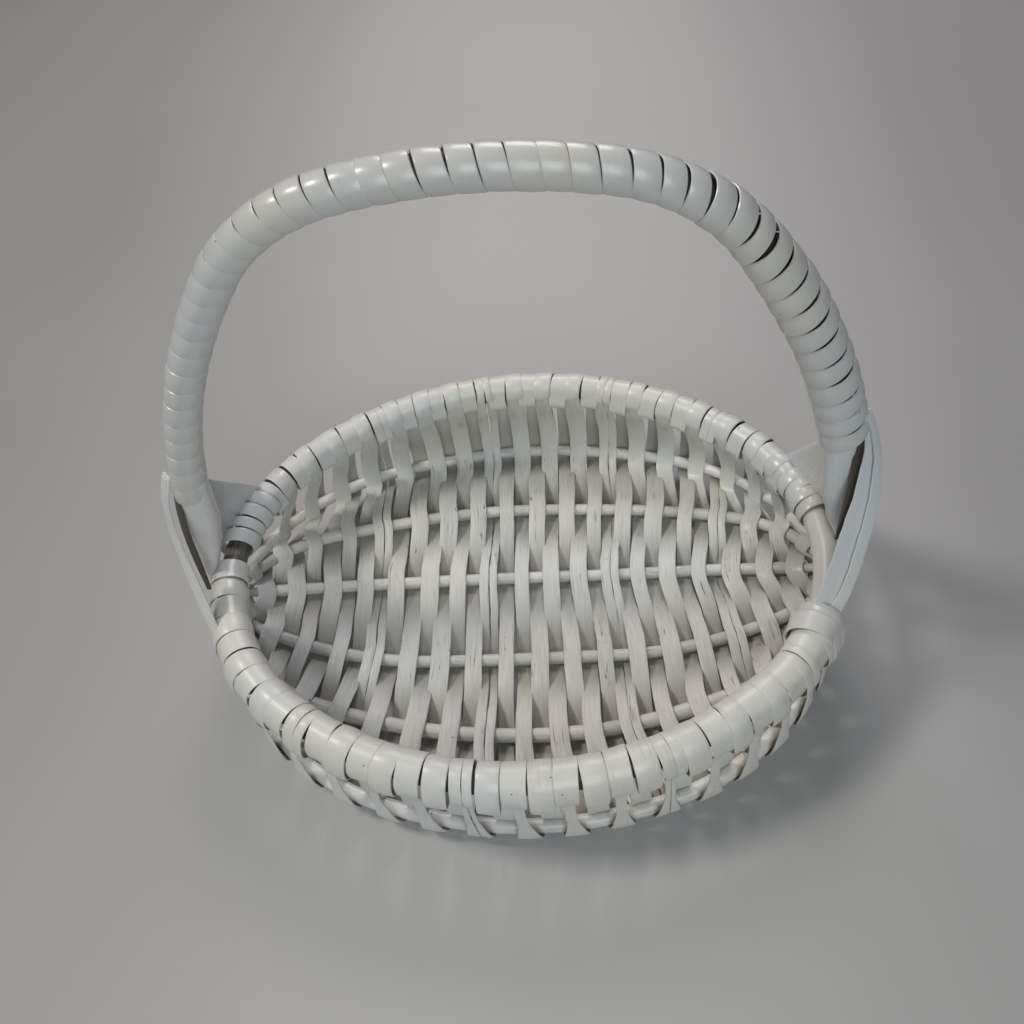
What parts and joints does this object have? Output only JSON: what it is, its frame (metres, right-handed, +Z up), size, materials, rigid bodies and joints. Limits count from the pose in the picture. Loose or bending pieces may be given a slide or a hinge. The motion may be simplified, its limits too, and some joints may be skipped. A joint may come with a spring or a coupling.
{
  "type": "easter basket",
  "caption": "Shallow oval rib basket: painted splints woven over bent rods under a bound hoop, with a tall bound arch handle strapped to both ends.",
  "frame": {"origin": "centre of the basket's footprint on the surface it stands on, under the middle of the handle", "axes": "+X from the left ear to the right ear along the handle's span, +Y to the back rim, +Z up"},
  "size_m": [0.3264, 0.2535, 0.298],
  "materials": {
    "painted_rod": "round willow rods under white spray paint, semi-gloss, thin at the ends",
    "painted_splint": "thin split-wood splints under white paint, fine grain and splits showing, bare brown edges in the gaps",
    "painted_binding": "wrapped splints under thick glossy white paint, dark unpainted gaps between turns"
  },
  "bodies": {
    "root": {"hoop": "painted_rod", "handle_rod": "painted_rod", "handle_leg_left": "painted_rod", "handle_leg_right": "painted_rod", "handle_binding": "painted_binding", "rod_front_outer": "painted_rod", "rod_front_mid": "painted_rod", "rod_front_keel": "painted_rod", "rod_back_keel": "painted_rod", "rod_back_mid": "painted_rod", "rod_back_outer": "painted_rod", "ear_binding_left_front": "painted_binding", "ear_binding_left_rear": "painted_binding", "ear_binding_right_front": "painted_binding", "ear_binding_right_rear": "painted_binding", "strap_left_front": "painted_binding", "strap_left_rear": "painted_binding", "strap_right_front": "painted_binding", "strap_right_rear": "painted_binding", "weaver_01": "painted_splint", "weaver_02": "painted_splint", "weaver_03": "painted_splint", "weaver_04": "painted_splint", "weaver_05": "painted_splint", "weaver_06": "painted_splint", "weaver_07": "painted_splint", "weaver_08": "painted_splint", "weaver_09": "painted_splint", "weaver_10": "painted_splint", "weaver_11": "painted_splint", "weaver_12": "painted_splint", "weaver_13": "painted_splint", "weaver_14": "painted_splint", "weaver_15": "painted_splint", "weaver_16": "painted_splint", "weaver_17": "painted_splint", "weaver_18": "painted_splint", "weaver_19": "painted_splint", "weaver_20": "painted_splint", "weaver_21": "painted_splint", "weaver_22": "painted_splint", "weaver_23": "painted_splint", "weaver_24": "painted_splint", "weaver_25": "painted_splint", "weaver_26": "painted_splint", "weaver_27": "painted_splint", "weaver_28": "painted_splint", "weaver_29": "painted_splint", "weaver_30": "painted_splint", "weaver_31": "painted_splint", "weaver_32": "painted_splint", "weaver_33": "painted_splint"}
  },
  "joints": []
}
